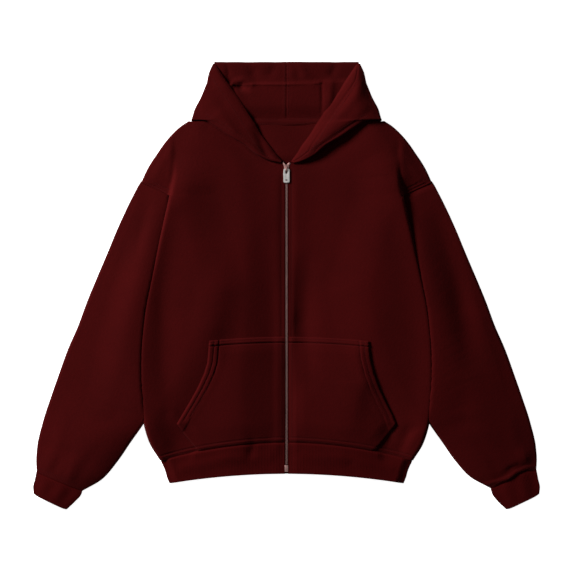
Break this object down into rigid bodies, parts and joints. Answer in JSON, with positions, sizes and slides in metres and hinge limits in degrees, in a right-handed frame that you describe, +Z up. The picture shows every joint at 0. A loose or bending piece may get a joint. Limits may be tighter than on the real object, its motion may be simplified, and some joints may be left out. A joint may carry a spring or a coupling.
{
  "type": "zip up hoodie",
  "caption": "Loose zip-up hooded sweatshirt in heavy brushed fleece, laid flat with the hood open and the sleeves swung down, with a split front pocket and ribbed cuffs and hem.",
  "frame": {"origin": "on the surface it lies on, at the middle of its outline", "axes": "+Z up off the surface, +Y towards the hood, +X towards the cuff on the viewer's right"},
  "size_m": [0.9828, 0.8643, 0.0192],
  "materials": {
    "fleece": "heavy brushed cotton fleece, matt with a short nap",
    "rib": "fine knitted rib",
    "neck_tape": "herringbone cotton tape",
    "zip_tape": "woven polyester tape",
    "zip_metal": "antique silver plated teeth and slider",
    "tab_metal": "light satin nickel",
    "thread": "polyester sewing thread"
  },
  "bodies": {
    "garment": {"back": "fleece", "front_left": "fleece", "front_right": "fleece", "sleeve_left": "fleece", "sleeve_right": "fleece", "cuff_left": "rib", "cuff_right": "rib", "waistband": "rib", "hood_left": "fleece", "hood_right": "fleece", "neck_tape": "neck_tape", "pocket_left": "fleece", "pocket_right": "fleece", "zip_tape_left": "zip_tape", "zip_tape_right": "zip_tape", "zip_chain_left": "zip_metal", "zip_chain_right": "zip_metal", "zip_retainer": "zip_metal", "zip_slider": "zip_metal"},
    "pull_tab": {"pull_tab": "tab_metal"}
  },
  "joints": [
    {"name": "pull_tab_hinge", "type": "hinge", "parent": "garment", "child": "pull_tab", "pos_m": [0, 0.2276, 0.009], "axis": [-1, 0, 0], "range_deg": [0, 160]}
  ]
}
